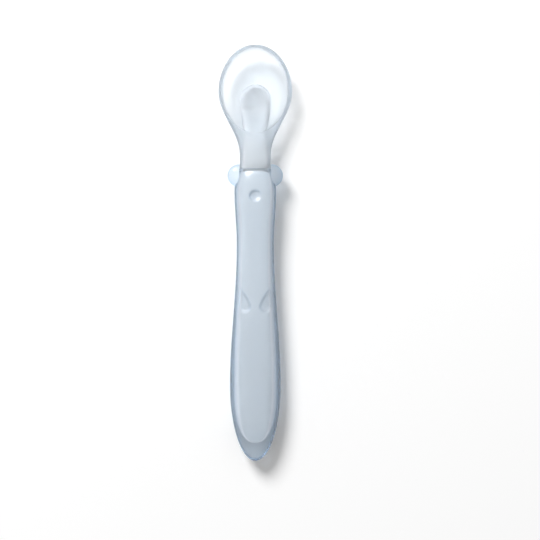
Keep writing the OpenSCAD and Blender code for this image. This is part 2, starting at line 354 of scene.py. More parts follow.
    def front_share(self, y: Values) -> Values:
        """Give the share of the way from the bowl's widest point to the neck."""
        return (self.bowl_y - y) / self.bowl_front_l

    def neck_share(self, y: Values) -> Values:
        """Say how far a section has changed between the bowl, at 0, and the neck, at 1."""
        return np.where(y < self.bowl_y, ease(0, 1, self.front_share(y)), 0)

    def rim_top(self, y: Values) -> Values:
        """Give the height of the rim's or neck's top at y.

        Args:
            y: Place that is asked about.

        Returns:
            The height.
        """
        front = run(self.rim_z, self.neck_top_z, self.rim_from, self.rim_to, self.front_share(y))
        back = run(self.rim_z, self.rim_z + self.tip_rise, self.bowl_y, self.tip_y, y)
        return np.where(y < self.bowl_y, front, back)

    def keel(self, y: Values) -> Values:
        """Give the height of the neck's and bowl's underside at y, before its flat.

        Args:
            y: Place that is asked about.

        Returns:
            The height.
        """
        front = run(-self.bowl_flat, self.neck_bottom_z, self.keel_from, self.keel_to, self.front_share(y))
        drop = self.rim_top(y) - self.rim_h
        back = drop - (drop + self.bowl_flat) * dome((y - self.bowl_y) / self.bowl_back_l, self.tip_round)
        return np.where(y < self.bowl_y, front, back)


@dataclass(frozen=True)
class Relief:
    """The round dimple on the shoulder and the two drop-shaped thumb scoops, in millimetres."""

    form: SpoonForm
    dimple_d: float = 4.7
    dimple_depth: float = 0.8
    dimple_back: float = 1.5
    dimple_slope: float = 0.43
    dimple_lean: float = 25.0
    scoop_l: float = 9.4
    scoop_w: float = 4.4
    scoop_depth: float = 0.75
    scoop_out: float = 3.5
    scoop_back: float = 20.0
    scoop_lean: float = 14.0
    scoop_room: float = 1.5
    wall_soft: float = 0.9
    scoop_wall: float = 0.9
    scoop_slope: float = 0.8
    scoop_tilt: float = 0.15

    @property
    def dimple_y(self) -> float:
        """Place of the dimple."""
        return self.form.shoulder_y - self.dimple_back

    @property
    def scoop_y(self) -> float:
        """Place of the middle of the scoops."""
        return self.form.waist_y - self.scoop_back

    @property
    def scoop_stretch(self) -> tuple[float, float]:
        """Places between which the scoops lie, with room."""
        reach = self.scoop_l / 2 + self.scoop_room
        return self.scoop_y - reach, self.scoop_y + reach

    def dimple(self, x: np.ndarray, y: np.ndarray) -> np.ndarray:
        """Say how deep the dimple is.

        Args:
            x: Places across.
            y: Places along.

        Returns:
            The depths.
        """
        low = math.radians(self.dimple_lean)
        dy = y - self.dimple_y
        across = x * math.cos(low) + dy * math.sin(low)
        along = dy * math.cos(low) - x * math.sin(low)
        half = np.sqrt(np.maximum(self.dimple_d ** 2 / 4 - across * across, 0))
        ramp = np.maximum(along + half, 0) * self.dimple_slope
        ramp = np.maximum(soft_min(ramp, self.dimple_depth, self.dimple_depth / 2), 0)
        return np.where(np.abs(along) < half, ramp, 0) * soft_step((half - along) / self.wall_soft)

    def scoop(self, x: np.ndarray, y: np.ndarray, side: int) -> np.ndarray:
        """Say how deep a scoop is.

        Args:
            x: Places across.
            y: Places along.
            side: 1 for the scoop at +X, and -1 for the other.

        Returns:
            The depths.
        """
        lean = math.radians(-side * self.scoop_lean)
        dx = x - side * self.scoop_out
        dy = y - self.scoop_y + self.scoop_l / 2 - self.scoop_w / 2
        across = dx * math.cos(lean) + dy * math.sin(lean)
        along = -dx * math.sin(lean) + dy * math.cos(lean)
        half = self.scoop_w / 2
        reach = self.scoop_l - half
        radius = np.hypot(across, along)
        nose = half * (1 - (np.clip(along, 0, reach) / reach) ** 2)
        edge = np.where(along < 0, half - radius, nose - np.abs(across))
        back = soft_step(-along / np.maximum(radius, TINY))
        slope = self.scoop_wall + (self.scoop_slope - self.scoop_wall) * back
        dip = soft_min(np.maximum(edge, 0) * slope, self.scoop_depth, self.scoop_depth / 2)
        dip = np.where(along < reach, np.maximum(dip, 0), 0)
        return dip * (1 - self.scoop_tilt * side * across / half)

    def depth(self, x: np.ndarray, y: np.ndarray, dimple_share: float, scoop_share: float) -> np.ndarray:
        """Say how far the dimple and the scoops lower a surface.

        Args:
            x: Places across.
            y: Places along.
            dimple_share: How much of the dimple's depth the surface takes.
            scoop_share: How much of the scoops' depth it takes.

        Returns:
            The depths.
        """
        scoops = self.scoop(x, y, -1) + self.scoop(x, y, 1)
        return dimple_share * self.dimple(x, y) + scoop_share * scoops


@dataclass(frozen=True)
class CoreForm:
    """The rigid core's sizes, in millimetres, and its outlines."""

    form: SpoonForm
    relief: Relief
    dimple_share: float = 1.0
    scoop_share: float = 0.9
    side_skin: float = 1.75
    grip_skin: float = 2.7
    face_skin: float = 1.3
    tail_clear_l: float = 6.7
    shoulder_back: float = 0.7
    bar_w: float = 8.0
    bar_cover: float = 1.1
    bar_waist_w: float = 7.0
    tongue_w: float = 9.6
    tongue_t: float = 2.1
    tongue_lift: float = 0.8
    tongue_end: float = 2.4
    tongue_round_l: float = 5.5
    tongue_dish: float = 1.1
    dish_end_round: float = 2.0
    cover_t: float = 0.6
    cover_side_t: float = 0.9
    sink_from: float = 0.18
    sink_to: float = 0.93
    cover_to: float = 0.74
    bar_round: float = 2.5
    handle_round: float = 3.6
    nose_round: float = 2.0
    nose_side_round: float = 1.8
    round_run_l: float = 1.2
    end_round: float = 2.5
    end_n: int = 40
    nose_n: int = 36
    tip_n: int = 30
    plain_step: float = 1.0
    scoop_step: float = 0.25
    dimple_step: float = 0.2
    bar_step: float = 0.4

    @property
    def end_y(self) -> float:
        """Place of the core's round end in the tail."""
        return self.form.tail_y + self.tail_clear_l

    @property
    def joint_y(self) -> float:
        """Place of the front of the core's own shoulder."""
        return self.form.joint_y - self.shoulder_back

    @property
    def tip_y(self) -> float:
        """Place of the tongue's round end."""
        return self.form.bowl_y + self.tongue_end

    @property
    def round_y(self) -> float:
        """Place where the tongue's round end starts."""
        return self.tip_y - self.tongue_round_l

    @property
    def touch_gap(self) -> float:
        """How near the core's top a point counts as on it."""
        return self.face_skin / 4

    def end_dome(self, y: Values) -> Values:
        """Give the shape of the core's rounded end in the tail at y, from 1 down to 0."""
        return dome((self.form.grip_y - y) / (self.form.grip_y - self.end_y), self.end_round)

    def nose_dome(self, y: Values, n: float) -> Values:
        """Give the shape of its rounded shoulder at y, from 1 down to 0, with roundness n."""
        return dome((y - self.form.shoulder_y) / (self.joint_y - self.form.shoulder_y), n)

    def half_w(self, y: Values) -> Values:
        """Give the core's half width at y.

        Args:
            y: Place that is asked about.

        Returns:
            The half width.
        """
        f = self.form
        cavity_y = f.bowl_y - f.cavity_front_l
        bar = self.bar_w / 2
        front = np.where(
            y < cavity_y,
            run(bar, self.bar_waist_w / 2, f.neck_y, cavity_y, y),
            run(self.bar_waist_w / 2, self.tongue_w / 2, cavity_y, self.round_y, y),
        )
        front = np.where(y < self.round_y, front,
                         self.tongue_w / 2 * dome((y - self.round_y) / self.tongue_round_l, 2))
        wide = bar + (f.shoulder_w / 2 - self.side_skin - bar) * self.nose_dome(y, f.shoulder_plan_round)
        shoulder = np.where(y < self.joint_y, wide, front)
        handle = f.handle_half_w(y) - run(self.grip_skin, self.side_skin, f.grip_y, f.waist_y, y)
        return f.by_stretch(y, (f.grip_w / 2 - self.grip_skin) * self.end_dome(y), handle, handle, shoulder)

    def roundness(self, y: Values) -> Values:
        """Give the roundness of the core's section at y.

        Args:
            y: Place that is asked about.

        Returns:
            The roundness.
        """
        turn_y = self.joint_y - self.round_run_l
        nose = run(self.handle_round, self.nose_round, self.form.shoulder_y, turn_y, y)
        bar = run(self.nose_round, self.bar_round, turn_y, self.joint_y, y)
        return np.where(y < turn_y, nose, bar)

    def surface_z(self, x: Values, y: Values) -> Values:
        """Give the height of the core's upper surface, or far below it beside the core.

        Args:
            x: Places across.
            y: Places along.

        Returns:
            The heights.
        """
        w = np.maximum(self.half_w(y), TINY)
        mid = (self.top(y) + self.bottom(y)) / 2
        over = mid + (self.top(y) - mid) * dome(x / w, self.roundness(y))
        return np.where(np.abs(x) < w, over, -self.form.tail_l)

    def section_y(self) -> np.ndarray:
        """Give the places of the core's cross-sections, from its round end to the tongue's tip.

        Returns:
            The places.
        """
        f, marks = self.form, self.relief
        low, high = marks.scoop_stretch
        dimple_y = marks.dimple_y - marks.dimple_d
        return np.concatenate([
            rounded_end(f.grip_y, self.end_y, self.end_n)[::-1],
            spaced([(f.grip_y, low, self.plain_step), (low, high, self.scoop_step),
                    (high, dimple_y, self.plain_step), (dimple_y, f.shoulder_y, self.dimple_step)]),
            rounded_end(f.shoulder_y, self.joint_y, self.nose_n),
            spaced([(self.joint_y + self.bar_step / 2, self.round_y, self.bar_step)]),
            rounded_end(self.round_y, self.tip_y, self.tip_n),
        ])

    def sink_share(self, y: Values) -> Values:
        """Say how far the core has sunk between the neck, at 0, and the tongue, at 1."""
        return run(1, 0, self.sink_from, self.sink_to, self.form.front_share(y))

    def top(self, y: Values) -> Values:
        """Give the height of the core's top at its sides at y.

        Args:
            y: Place that is asked about.

        Returns:
            The height.
        """
        f = self.form
        bar = f.neck_top_z - self.bar_cover
        sunk = bar + (self.tongue_lift + self.tongue_t - bar) * self.sink_share(y)
        high = bar + (f.shoulder_top_z - self.face_skin - bar) * self.nose_dome(y, self.nose_side_round)
        shoulder = np.where(y < self.joint_y, high, sunk)
        handle = f.handle_top(y) - self.face_skin
        tail = f.tail_mid_z + (f.grip_top_z - self.face_skin - f.tail_mid_z) * self.end_dome(y)
        return f.by_stretch(y, tail, handle, handle, shoulder)

    def bottom(self, y: Values) -> Values:
        """Give the height of the core's underside at y.

        Args:
            y: Place that is asked about.

        Returns:
            The height.
        """
        f = self.form
        bar = f.neck_bottom_z + self.bar_cover
        sunk = bar + (self.tongue_lift - bar) * self.sink_share(y)
        step = run(f.shoulder_bottom_z + self.face_skin, bar, f.shoulder_y, self.joint_y, y)
        return f.by_stretch(
            y,
            f.tail_mid_z - (f.tail_mid_z - self.face_skin) * self.end_dome(y),
            run(self.face_skin, f.waist_bottom_z + self.face_skin, f.grip_y, f.waist_y, y),
            f.handle_bottom(y) + self.face_skin,
            np.where(y < self.joint_y, step, sunk),
        )

    def dish(self, y: Values) -> Values:
        """Say how far the core's top is dished at y."""
        end = dome(np.maximum(y - self.round_y, 0) / self.tongue_round_l, self.dish_end_round)
        return self.tongue_dish * self.sink_share(y) * end

    def cover_top(self, y: Values) -> Values:
        """Give the height of the raised cover's top at its sides at y.

        Args:
            y: Place that is asked about.

        Returns:
            The height.
        """
        f = self.form
        share = run(1, 0, self.sink_from, self.cover_to, f.front_share(y))
        return f.neck_top_z + (self.tongue_lift + self.tongue_t + self.cover_t - f.neck_top_z) * share

    def cover_half_w(self, y: Values) -> Values:
        """Give the half width of the raised cover over the tongue at y.

        Args:
            y: Place that is asked about.

        Returns:
            The half width.
        """
        end = dome((y - self.round_y) / (self.tongue_round_l + self.cover_side_t), 2)
        return np.where(y < self.round_y, self.half_w(y) + self.cover_side_t,
                        (self.tongue_w / 2 + self.cover_side_t) * end)


@dataclass
class Stations:
    """Cross-sections along Y from which a skin is made: one row of values each, in millimetres."""

    y: np.ndarray
    half_w: np.ndarray
    bottom: np.ndarray
    top: np.ndarray
    roundness: np.ndarray
    dish: np.ndarray
    mid: np.ndarray = field(init=False)

    def __post_init__(self) -> None:
        """Work out the middle heights, above the flat that the spoon rests on."""
        self.mid = (np.maximum(0, self.bottom) + self.top) / 2

    def followed_by(self, other: "Stations") -> "Stations":
        """Give these sections and then another's."""
        names = [part.name for part in fields(self) if part.init]
        return Stations(*(np.concatenate([getattr(self, name), getattr(other, name)]) for name in names))


def spaced(stretches: list[tuple[float, float, float]]) -> np.ndarray:
    """Space places along stretches, each with its own step.

    Args:
        stretches: Start, end and step of each stretch. Each starts where the last ends.

    Returns:
        The places, with the last end.
    """
    parts = []
    for start, end, step in stretches:
        count = max(1, math.ceil(abs(end - start) / step))
        parts.append(np.linspace(start, end, count, endpoint=False))
    return np.append(np.concatenate(parts), stretches[-1][1])


def rounded_end(start: float, end: float, count: int) -> np.ndarray:
    """Space places along a rounded end, closer and closer together, without its start.

    Args:
        start: Where the rounding starts.
        end: Where it closes.
        count: How many places.

    Returns:
        The places, up to the end.
    """
    return start + (end - start) * np.sin(np.linspace(0, np.pi / 2, count + 1))[1:]


class Wiring:
    """A short way to add nodes to a tree and feed their inputs."""

    def __init__(self, tree: bpy.types.NodeTree) -> None:
        """Take the tree.

        Args:
            tree: Node tree that gets the nodes.
        """
        self.tree = tree

    def put(self, socket: bpy.types.NodeSocket, value: Feed) -> None:
        """Feed an input.

        Args:
            socket: The input.
            value: A plain value, or an output socket to link.
        """
        if isinstance(value, bpy.types.NodeSocket):
            self.tree.links.new(value, socket)
        else:
            socket.default_value = value

    def add(self, kind: str, inputs: dict[str | int, Feed] | None = None,
            **settings: object) -> bpy.types.bpy_prop_collection:
        """Add a node.

        Args:
            kind: Its type.
            inputs: What its inputs are fed, by name or place.
            settings: Its properties.

        Returns:
            Its outputs.
        """
        node = self.tree.nodes.new(kind)
        for name, value in settings.items():
            setattr(node, name, value)
        for key, value in (inputs or {}).items():
            self.put(node.inputs[key], value)
        return node.outputs

    def maths(self, operation: str, *values: Feed, use_clamp: bool = False) -> bpy.types.NodeSocket:
        """Add a Math node.

        Args:
            operation: What it does.
            values: Numbers or output sockets.
            use_clamp: Whether its value is kept between 0 and 1.

        Returns:
            Its output.
        """
        inputs = dict(enumerate(values))
        return self.add("ShaderNodeMath", inputs, operation=operation, use_clamp=use_clamp)[0]

    def mixed(self, share: Feed, first: Feed, second: Feed) -> bpy.types.NodeSocket:
        """Mix two colours.

        Args:
            share: Share of the second.
            first: Colour or output socket.
            second: Colour or output socket.

        Returns:
            The mixed colour.
        """
        inputs = {"Factor": share, "A": first, "B": second}
        return self.add("ShaderNodeMix", inputs, data_type="RGBA")["Result"]

    def step(self, value: bpy.types.NodeSocket, *ends: Feed) -> bpy.types.NodeSocket:
        """Step smoothly from one number to another.

        Args:
            value: What decides.
            ends: Where the step starts and ends, and the numbers there. Numbers or output sockets.

        Returns:
            The number.
        """
        names = ("From Min", "From Max", "To Min", "To Max")
        inputs = {"Value": value, **dict(zip(names, ends, strict=True))}
        return self.add("ShaderNodeMapRange", inputs, interpolation_type="SMOOTHSTEP")["Result"]

    def sockets(self, way: str, kinds: dict[str, str]) -> dict[str, str]:
        """Args:
            way: INPUT or OUTPUT.
            kinds: The type of each, by name.

        Returns:
            The identifier of each, by name.
        """
        face = self.tree.interface
        return {name: face.new_socket(name, in_out=way, socket_type="NodeSocket" + kind).identifier
                for name, kind in kinds.items()}


class SectionSkin:
    """A node tree that wraps a skin over cross-sections.

    Its input is a row of points, one for each section, that carry the section's half width, rise,
    drop, dish and roundness. Each section is a squarish ellipse.
    """

    NAME = "SectionSkin"
    WELD = 5e-7
    LEAST = 1e-5

    def __init__(self) -> None:
        """Build the tree."""
        self.wiring = Wiring(bpy.data.node_groups.new(self.NAME, "GeometryNodeTree"))
        self.sockets = self.wiring.sockets("INPUT", {"Sections": "Geometry", "Points Around": "Int",
                                                     "Weld Distance": "Float", "Material": "Material"})
        self.wiring.sockets("OUTPUT", {"Skin": "Geometry"})
        self.build()

    def build(self) -> None:
        """Make the grid, the rule that places its points, and the output."""
        add, maths = self.wiring.add, self.wiring.maths
        source = add("NodeGroupInput")
        sections = source["Sections"]
        count = add("GeometryNodeAttributeDomainSize", {0: sections}, component="MESH")["Point Count"]
        around = maths("ADD", source["Points Around"], 1)
        grid = add("GeometryNodeMeshGrid",
                   {"Size X": 1, "Size Y": 1, "Vertices X": around, "Vertices Y": count})
        place = add("ShaderNodeSeparateXYZ", {0: add("GeometryNodeInputPosition")[0]})
        turn = maths("MULTIPLY", maths("ADD", place["X"], 0.5), 2 * math.pi)
        row = maths("MULTIPLY", maths("ADD", place["Y"], 0.5), maths("SUBTRACT", count, 1))
        row = maths("ROUND", row)

        def sampled(kind: str, value: bpy.types.NodeSocket) -> bpy.types.NodeSocket:
            """Read a value of the section that a grid point belongs to."""
            return add("GeometryNodeSampleIndex", {"Geometry": sections, "Value": value, "Index": row},
                       data_type=kind, domain="POINT")[0]

        def named(name: str) -> bpy.types.NodeSocket:
            """Read a named value of that section."""
            value = add("GeometryNodeInputNamedAttribute", {"Name": name}, data_type="FLOAT")["Attribute"]
            return sampled("FLOAT", value)

        middle = add("ShaderNodeSeparateXYZ",
                     {0: sampled("FLOAT_VECTOR", add("GeometryNodeInputPosition")[0])})
        power = maths("DIVIDE", 2, named("roundness"))
        cosine, sine = maths("COSINE", turn), maths("SINE", turn)

        def bent(value: bpy.types.NodeSocket) -> bpy.types.NodeSocket:
            """Bend a sine or cosine to the section's roundness. One that is all but 0 becomes 0."""
            size = maths("MAXIMUM", maths("SUBTRACT", maths("ABSOLUTE", value), self.LEAST), 0)
            return maths("MULTIPLY", maths("SIGN", value), maths("POWER", size, power))

        across, up = bent(cosine), bent(sine)
        rise = maths("MULTIPLY", maths("MAXIMUM", up, 0), named("rise"))
        drop = maths("MULTIPLY", maths("MINIMUM", up, 0), named("drop"))
        hollow = maths("SUBTRACT", 1, maths("MULTIPLY", across, across))
        hollow = maths("MULTIPLY", maths("MULTIPLY", hollow, named("dish")), maths("MAXIMUM", sine, 0))
        height = maths("ADD", middle["Z"], maths("ADD", rise, drop))
        height = maths("MAXIMUM", maths("SUBTRACT", height, hollow), 0)
        width = maths("MULTIPLY", across, named("half_w"))
        point = add("ShaderNodeCombineXYZ", {"X": width, "Y": middle["Y"], "Z": height})
        moved = add("GeometryNodeSetPosition", {"Geometry": grid["Mesh"], "Position": point[0]})
        weld = add("GeometryNodeMergeByDistance", {"Geometry": moved[0], "Distance": source["Weld Distance"]})
        real = add("GeometryNodeRealizeInstances", {0: weld[0]})
        dressed = add("GeometryNodeSetMaterial", {"Geometry": real[0], "Material": source["Material"]})
        add("NodeGroupOutput", {0: dressed[0]})

    def make(self, name: str, stations: Stations, around: int,
             material: bpy.types.Material) -> bpy.types.Object:
        """Wrap a skin over sections.

        Args:
            name: Name of the new object.
            stations: The sections.
            around: Points round each section.
            material: The skin's material.

        Returns:
            A plain mesh object at the origin.
        """
        mesh = bpy.data.meshes.new(name + "_sections")
        mesh.from_pydata([(0, y * MM, z * MM) for y, z in zip(stations.y, stations.mid)], [], [])
        rows = {
            "half_w": stations.half_w * MM,
            "rise": (stations.top - stations.mid) * MM,
            "drop": (stations.mid - stations.bottom) * MM,
            "dish": stations.dish * MM,
            "roundness": stations.roundness,
        }
        for key, values in rows.items():
            mesh.attributes.new(key, "FLOAT", "POINT").data.foreach_set("value", values.astype(np.float32))
        holder = add_object(name + "_sections", mesh)
        modifier = holder.modifiers.new(self.NAME, "NODES")
        modifier.node_group = self.wiring.tree
        for key, value in (("Points Around", around), ("Weld Distance", self.WELD), ("Material", material)):
            modifier[self.sockets[key]] = value
        plain = plain_mesh(holder, material)
        plain.name = name
        holder.modifiers.remove(modifier)
        bpy.data.objects.remove(holder)
        made = add_object(name, plain)
        turn_outwards(made)
        return made


def add_object(name: str, data: bpy.types.ID) -> bpy.types.Object:
    """Put an object into the scene.

    Args:
        name: Its name.
        data: Its mesh, lamp or camera.

    Returns:
        The object, at the origin.
    """
    made = bpy.data.objects.new(name, data)
    bpy.context.collection.objects.link(made)
    return made


def plain_mesh(holder: bpy.types.Object, material: bpy.types.Material) -> bpy.types.Mesh:
    """Take what an object's modifiers make as a plain mesh with one material.

    Args:
        holder: An object with a modifier.
        material: The material of every face.

    Returns:
        The mesh.
    """
    graph = bpy.context.evaluated_depsgraph_get()
    mesh = bpy.data.meshes.new_from_object(holder.evaluated_get(graph))
    mesh.materials.clear()
    mesh.materials.append(material)
    mesh.polygons.foreach_set("material_index", [0] * len(mesh.polygons))
    return mesh


def turn_outwards(piece: bpy.types.Object) -> None:
    """Turn the faces of a closed mesh outwards, and shade it smooth.

    Args:
        piece: A mesh object.
    """
    work = bmesh.new()
    work.from_mesh(piece.data)
    bmesh.ops.recalc_face_normals(work, faces=work.faces)
    for face in work.faces:
        face.smooth = True
    work.to_mesh(piece.data)
    work.free()


def lower(piece: bpy.types.Object, depth: Callable[[np.ndarray, np.ndarray, np.ndarray], np.ndarray]) -> None:
    """Move a mesh's points down.

    Args:
        piece: A mesh object.
        depth: A rule that takes x, y and z and gives how far each point goes, in millimetres.
    """
    mesh = piece.data
    place = np.empty(len(mesh.vertices) * 3, np.float32)
    mesh.vertices.foreach_get("co", place)
    place = place.reshape(-1, 3)
    x, y, z = (place[:, i] / MM for i in range(3))
    place[:, 2] -= depth(x, y, z) * MM
    mesh.vertices.foreach_set("co", place.ravel())
    mesh.update()


def crease(piece: bpy.types.Object, degrees: float) -> None:
    """Keep a mesh's sharp edges sharp under smooth shading.

    Args:
        piece: A mesh object.
        degrees: Least angle of a sharp edge.
    """
    piece.data.set_sharp_from_angle(angle=math.radians(degrees))


class ShaderGroups:
    """Shader node groups that more than one finish uses."""

    GRAIN_DETAIL = 2
    WAVE_DETAIL = 1
    SMUDGE_DETAIL = 3
    SMUDGE_FROM = 0.42
    SMUDGE_TO = 0.68

    def __init__(self) -> None:
        """Build the groups."""
        self.mould = self.mould_texture()
        self.handling = self.handling_marks()
        self.stretch = self.along_spoon()

    @staticmethod
    def start(name: str, output: str,
              inputs: dict[str, float]) -> tuple[Wiring, bpy.types.bpy_prop_collection]:
        """Start a group.

        Args:
            name: Its name.
            output: Its number output.
            inputs: Its number inputs and their values.

        Returns:
            Its wiring, and its inputs as they come in.
        """
        wiring = Wiring(bpy.data.node_groups.new(name, "ShaderNodeTree"))
        for key, value in inputs.items():
            socket = wiring.tree.interface.new_socket(key, in_out="INPUT", socket_type="NodeSocketFloat")
            socket.default_value = value
        wiring.sockets("OUTPUT", {output: "Float"})
        return wiring, wiring.add("NodeGroupInput")

    @staticmethod
    def noise(wiring: Wiring, scale: bpy.types.NodeSocket, detail: float) -> bpy.types.NodeSocket:
        """Add noise that stays with the object.

        Args:
            wiring: Node tree that gets it.
            scale: How fine it is.
            detail: How many finer layers it has.

        Returns:
            The noise's value output.
        """
        place = wiring.add("ShaderNodeTexCoord")["Object"]
        return wiring.add("ShaderNodeTexNoise", {"Vector": place, "Scale": scale, "Detail": detail})["Fac"]

    def mould_texture(self) -> bpy.types.NodeTree:
        """Build the fine grain and the slow waves that a mould leaves.

        Returns:
            The group. Its output is a height between 0 and 1.
        """
        wiring, source = self.start("MouldTexture", "Height",
                                    {"Grain Scale": 2500.0, "Wave Scale": 90.0, "Wave Share": 0.5})
        grain = self.noise(wiring, source["Grain Scale"], self.GRAIN_DETAIL)
        wave = self.noise(wiring, source["Wave Scale"], self.WAVE_DETAIL)
        mix = wiring.add("ShaderNodeMix", {"Factor": source["Wave Share"], "A": grain, "B": wave})
        wiring.add("NodeGroupOutput", {0: mix["Result"]})
        return wiring.tree

    def along_spoon(self) -> bpy.types.NodeTree:
        """Build a soft step from one value to another between two places along the spoon.

        Returns:
            The group. Its output is the value there.
        """
        wiring, source = self.start("AlongSpoon", "Value",
                                    {"Start": 0.0, "End": 0.01, "Before": 0.0, "After": 1.0})
        parts = wiring.add("ShaderNodeSeparateXYZ", {0: wiring.add("ShaderNodeTexCoord")["Object"]})
        ends = (source[key] for key in ("Start", "End", "Before", "After"))
        wiring.add("NodeGroupOutput", {0: wiring.step(parts["Y"], *ends)})
        return wiring.tree

    def handling_marks(self) -> bpy.types.NodeTree:
        """Build the soft smudges that handling leaves on a smooth surface.

        Returns:
            The group. Its output is a roughness.
        """
        wiring, source = self.start("HandlingMarks", "Roughness", {
            "Clean Roughness": 0.03, "Smudged Roughness": 0.08, "Smudge Scale": 60.0})
        smudge = self.noise(wiring, source["Smudge Scale"], self.SMUDGE_DETAIL)
        roughness = wiring.step(smudge, self.SMUDGE_FROM, self.SMUDGE_TO,
                                source["Clean Roughness"], source["Smudged Roughness"])
        wiring.add("NodeGroupOutput", {0: roughness})
        return wiring.tree

    def along(self, wiring: Wiring, start_mm: float, end_mm: float, before: float = 0.0,
              after: float = 1.0) -> bpy.types.NodeSocket:
        """Step from one value to another along the spoon in a finish.

        Args:
            wiring: Node tree of the finish.
            start_mm: Where the step starts.
            end_mm: Where it ends.
            before: Value at its start.
            after: Value at its end.

        Returns:
            The value.
        """
        return wiring.add("ShaderNodeGroup", {"Start": start_mm * MM, "End": end_mm * MM, "Before": before,
                                              "After": after}, node_tree=self.stretch)["Value"]

    def surface(self, wiring: Wiring, body: bpy.types.Node, clean: Feed, smudged: Feed,
                grain_m: float) -> None:
        """Give a finish its smudged gloss and the mould's grain.

        Args:
            wiring: Node tree of the finish.
            body: Its shader.
            clean: Roughness where it is clean.
            smudged: Roughness where it is smudged.
            grain_m: Height of the grain.
        """
        marks = wiring.add("ShaderNodeGroup", {"Clean Roughness": clean, "Smudged Roughness": smudged},
                           node_tree=self.handling)
        wiring.put(body.inputs["Roughness"], marks["Roughness"])
        grain = wiring.add("ShaderNodeGroup", node_tree=self.mould)["Height"]
        bump = wiring.add("ShaderNodeBump", {"Distance": grain_m, "Height": grain})
        wiring.put(body.inputs["Normal"], bump["Normal"])


def start_material(name: str) -> tuple[bpy.types.Material, Wiring, bpy.types.Node]:
    """Start a finish.

    Args:
        name: Its name.

    Returns:
        The material, its wiring and its shader.
    """
    material = bpy.data.materials.new(name)
    material.use_nodes = True
    return material, Wiring(material.node_tree), material.node_tree.nodes["Principled BSDF"]


@dataclass(frozen=True)
class Silicone:
    """Clear, soft, glossy silicone with a faint tint that grows with its depth, a painted deeper tint where
    it is seen edge-on, and a painted shadow below its tail.
    """

    name: str
    tint_per_m: float
    tint: Colour
    clarity: float
    clean: float
    frosted: float
    frost_from_mm: float
    frost_to_mm: float
    haze: Colour = (0.97, 0.985, 1.0)
    # Painted edge tint: edge is the colour painted where the skin is seen edge-on
    edge: Colour = (0.97, 0.985, 1.0)
    painted_edge_tint_blend: float = 0.2
    # Painted shadow: shade is the colour that diffuse rays take as they enter the tail, which deepens its
    # shadow on the floor
    shade: float = 1.0
    painted_shadow_from_mm: float = -68.0
    painted_shadow_to_mm: float = -52.0
    ior: float = 1.41
    smudge: float = 0.04
    grain_m: float = 0.000004

    def make(self, groups: ShaderGroups) -> bpy.types.Material:
        """Build the material.

        Args:
            groups: The shared node groups.

        Returns:
            The material.
        """
        material, wiring, body = start_material(self.name)
        # Painted edge tint: where the skin is seen edge-on its colour is painted deeper, standing in for
        # light that has run a long way through it
        painted_edge_share = wiring.add("ShaderNodeLayerWeight", {"Blend": self.painted_edge_tint_blend})["Facing"]
        tone = wiring.mixed(painted_edge_share, (*self.haze, 1), (*self.edge, 1))
        # Painted shadow: diffuse rays that enter the tail from outside take a darker colour, which deepens
        # the tail's shadow on the floor
        ray = wiring.add("ShaderNodeLightPath")["Is Diffuse Ray"]
        away = wiring.add("ShaderNodeNewGeometry")["Backfacing"]
        tail = groups.along(wiring, self.painted_shadow_from_mm, self.painted_shadow_to_mm, 1, 0)
        below = wiring.maths("MULTIPLY", wiring.maths("SUBTRACT", ray, away, use_clamp=True), tail)
        tone = wiring.mixed(below, tone, (self.shade, self.shade, self.shade, 1))
        for key, value in (("Base Color", tone), ("Transmission Weight", self.clarity), ("IOR", self.ior)):
            wiring.put(body.inputs[key], value)
        frost = groups.along(wiring, self.frost_from_mm, self.frost_to_mm, self.clean, self.frosted)
        groups.surface(wiring, body, frost, wiring.maths("ADD", frost, self.smudge), self.grain_m)
        depth = wiring.add("ShaderNodeVolumeAbsorption",
                           {"Color": (*self.tint, 1), "Density": self.tint_per_m})
        wiring.put(wiring.tree.nodes["Material Output"].inputs["Volume"], depth["Volume"])
        return material


@dataclass(frozen=True)
class CorePlastic:
    """Opaque, satin, pale blue-grey moulded plastic, with painted shade towards the tail and on the tongue,
    and painted light on its rounded sides.
    """

    name: str = "satin_core_plastic"
    pale: Colour = (0.70, 0.735, 0.765)
    # Painted shade: deep is the colour painted towards the tail, where the light falls off
    deep: Colour = (0.57, 0.605, 0.635)
    pale_mm: float = 30.0
    tail_painted_shade_mm: float = -75.0
    # Painted shade: tongue is the darker colour painted on the tongue, against the light its ramp catches
    tongue: Colour = (0.62, 0.655, 0.69)
    tongue_painted_shade_from_mm: float = 34.0
    tongue_painted_shade_to_mm: float = 48.0
    # Painted light: side is the paler colour painted on the core's rounded sides
    side: Colour = (0.82, 0.81, 0.82)
    side_painted_light_from: float = 0.92
    side_painted_light_to: float = 0.5
    clean: float = 0.42
    smudged: float = 0.5
    grain_m: float = 0.00001

    def make(self, groups: ShaderGroups) -> bpy.types.Material:
        """Build the material.

        Args:
            groups: The shared node groups.

        Returns:
            The material.
        """
        material, wiring, body = start_material(self.name)
        # Painted shade: the core grows darker towards the tail, standing in for the light falling off there
        front = groups.along(wiring, self.tail_painted_shade_mm, self.pale_mm)
        tone = wiring.mixed(front, (*self.deep, 1), (*self.pale, 1))
        # Painted shade on the tongue, which is darker than the rest of the core
        tongue = groups.along(wiring, self.tongue_painted_shade_from_mm, self.tongue_painted_shade_to_mm)
        tone = wiring.mixed(tongue, tone, (*self.tongue, 1))
        # Painted light: its rounded sides are painted paler than its faces, standing in for light that runs
        # through the skin and comes out there
        normal = wiring.add("ShaderNodeSeparateXYZ", {0: wiring.add("ShaderNodeTexCoord")["Normal"]})
        side = wiring.step(wiring.maths("ABSOLUTE", normal["Z"]), self.side_painted_light_to, self.side_painted_light_from, 1, 0)
        wiring.put(body.inputs["Base Color"], wiring.mixed(side, tone, (*self.side, 1)))
        groups.surface(wiring, body, self.clean, self.smudged, self.grain_m)
        return material


